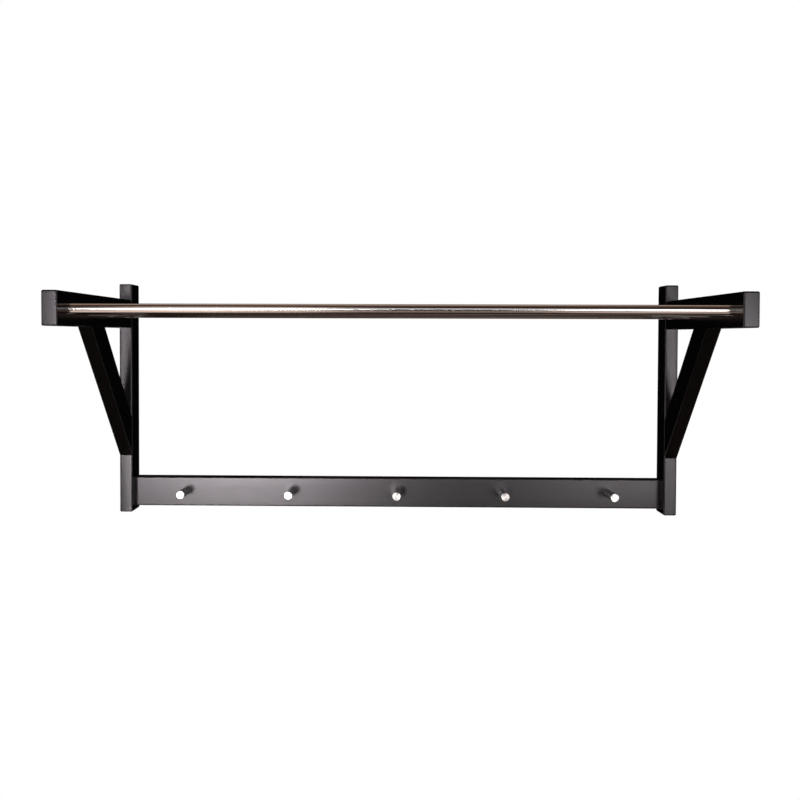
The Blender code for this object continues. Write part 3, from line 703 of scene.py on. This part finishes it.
def turned_stainless(name):
    """Steel as it comes off the lathe, for a peg that points along -Y from its seat on the rail."""
    made = bpy.data.materials.new(name)
    made.use_nodes = True
    tree = made.node_tree
    shader = tree.nodes["Principled BSDF"]
    shader.inputs["Metallic"].default_value = 1
    shader.inputs["Anisotropic"].default_value = 0.75
    shader.inputs["Anisotropic Rotation"].default_value = 0.25
    solid = add_node(tree, "ShaderNodeTexCoord").outputs["Object"]
    rings = add_node(
        tree,
        "ShaderNodeTexWave",
        {"Vector": solid, "Scale": 2 * math.pi / WAVE_FACTOR / RING_SPACING, "Distortion": 0.6, "Detail": 1},
        wave_type="RINGS",
        rings_direction="SPHERICAL",
    ).outputs["Fac"]
    tone = add_node(
        tree, "ShaderNodeMix", {"Factor": rings, 6: linear("#cfccc9"), 7: linear("#dad8d5")}, data_type="RGBA"
    )
    from_seat = add_node(tree, "ShaderNodeSeparateXYZ", {0: solid}).outputs["Y"]
    faced = add_node(tree, "ShaderNodeMath", {0: from_seat, 1: FACED_FROM}, operation="LESS_THAN").outputs[0]
    cut = add_node(
        tree, "ShaderNodeMapRange", {"Value": faced, "To Min": SHANK_ROUGHNESS, "To Max": FACED_ROUGHNESS}
    )
    blur = add_node(
        tree, "ShaderNodeMath", {0: rings, 1: 0.06, 2: cut.outputs["Result"]}, operation="MULTIPLY_ADD"
    )
    marks = add_node(tree, "ShaderNodeBump", {"Strength": 0.2, "Distance": RING_DEPTH, "Height": rings})
    circling = add_node(tree, "ShaderNodeTangent", direction_type="RADIAL", axis="Y")
    tree.links.new(tone.outputs[2], shader.inputs["Base Color"])
    tree.links.new(blur.outputs[0], shader.inputs["Roughness"])
    tree.links.new(marks.outputs[0], shader.inputs["Normal"])
    tree.links.new(circling.outputs[0], shader.inputs["Tangent"])
    return made


lathe_turned = turned_stainless("turned_stainless")
print("finish:", lathe_turned.name)

# %% The pegs
PEG_CHAMFER = 0.6 * MM
PEG_HOLE = 5.6 * MM
PEG_HOLE_DEPTH = 15 * MM
PEGS = [f"peg_{k}" for k in (1, 2, 3, 4, 5)]

for node in PEGS:
    low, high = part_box(node)
    radius = (high.z - low.z) / 2
    length = rail_front - low.y
    seat = Vector(((low.x + high.x) / 2, rail_front, (low.z + high.z) / 2))
    profile = [
        (0, length),
        (radius - PEG_CHAMFER, length),
        (radius, length - PEG_CHAMFER),
        (radius, 0),
        (PEG_HOLE / 2, 0),
        (PEG_HOLE / 2, PEG_HOLE_DEPTH),
        (0, PEG_HOLE_DEPTH),
    ]
    peg = turned(f"turned_{node}", profile, seat, (0, -1, 0), lathe_turned)
    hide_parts(node)
    print(peg.name, "length", round(length / MM, 1), "mm, diameter", round(2 * radius / MM, 1), "mm")

# %% [markdown]
# ## Fastenings
#
# From behind, and at the brackets' sides, one sees what holds the rack together: zinc-plated hangers,
# screws and barrel nuts, and black-oxide bolt heads. Zinc plate is a soft grey with a faint yellow and blue
# shimmer from its passivation, clouded in patches of a few millimetres. Black oxide is a dark conversion
# layer that takes its gloss from the steel under it. Both are metal under a thin skin, so one function
# makes them, with the colours, the size of the clouds and the roughness of each.

# %% Zinc plate and black oxide
PIT_DEPTH = 0.01 * MM


def clouded_metal(name, dark, light, cloud, rough):
    """A plated or blackened metal whose colour and gloss cloud over patches of the given size."""
    made = bpy.data.materials.new(name)
    made.use_nodes = True
    tree = made.node_tree
    shader = tree.nodes["Principled BSDF"]
    shader.inputs["Metallic"].default_value = 1
    solid = add_node(tree, "ShaderNodeTexCoord").outputs["Object"]
    patches = add_node(
        tree, "ShaderNodeTexNoise", {"Vector": solid, "Scale": 1 / cloud, "Detail": 4}
    ).outputs["Fac"]
    tone = add_node(
        tree, "ShaderNodeMix", {"Factor": patches, 6: linear(dark), 7: linear(light)}, data_type="RGBA"
    )
    gloss = add_node(
        tree,
        "ShaderNodeMapRange",
        {"Value": patches, "From Min": 0.3, "From Max": 0.7, "To Min": rough[0], "To Max": rough[1]},
    )
    pits = add_node(tree, "ShaderNodeBump", {"Strength": 0.2, "Distance": PIT_DEPTH, "Height": patches})
    tree.links.new(tone.outputs[2], shader.inputs["Base Color"])
    tree.links.new(gloss.outputs["Result"], shader.inputs["Roughness"])
    tree.links.new(pits.outputs[0], shader.inputs["Normal"])
    return made


zinc_plate = clouded_metal("zinc_plated_steel", "#aeb0ad", "#c3c6cb", 2.5 * MM, (0.28, 0.42))
black_oxide = clouded_metal("black_oxide_steel", "#232224", "#2e2d30", 1.5 * MM, (0.32, 0.42))
print("finishes:", zinc_plate.name, black_oxide.name)

# %% [markdown]
# The dowels are turned beech, bare and matt, and hidden in their joints. Beech is known by the small darker
# flecks of its rays, so a fine noise mixes two tones of its pale brown.

# %% Beech
FLECK = 0.6 * MM

bare_beech = bpy.data.materials.new("bare_beech")
bare_beech.use_nodes = True
tree = bare_beech.node_tree
shader = tree.nodes["Principled BSDF"]
shader.inputs["Roughness"].default_value = 0.6
solid = add_node(tree, "ShaderNodeTexCoord").outputs["Object"]
flecks = add_node(
    tree, "ShaderNodeTexNoise", {"Vector": solid, "Scale": 1 / FLECK, "Detail": 3}
).outputs["Fac"]
tone = add_node(
    tree, "ShaderNodeMix", {"Factor": flecks, 6: linear("#b78a5b"), 7: linear("#d0a878")}, data_type="RGBA"
)
tree.links.new(tone.outputs[2], shader.inputs["Base Color"])
print("finish:", bare_beech.name)

# %% Dress the fastenings
FINISH_OF_SLOT = {"zinc_steel": zinc_plate, "black_oxide": black_oxide, "beech": bare_beech}

dressed = 0
for subpart in frame["record"]["subparts"]:
    finish = FINISH_OF_SLOT.get(subpart["material_slot"])
    if finish:
        dress(subpart["node"], finish)
        dressed += 1
print("fastenings dressed:", dressed)

# %% [markdown]
# ## Finish
#
# The dressed rack has to fill the same box as its solids.

# %% Bring the scene up to date
bpy.context.view_layer.update()
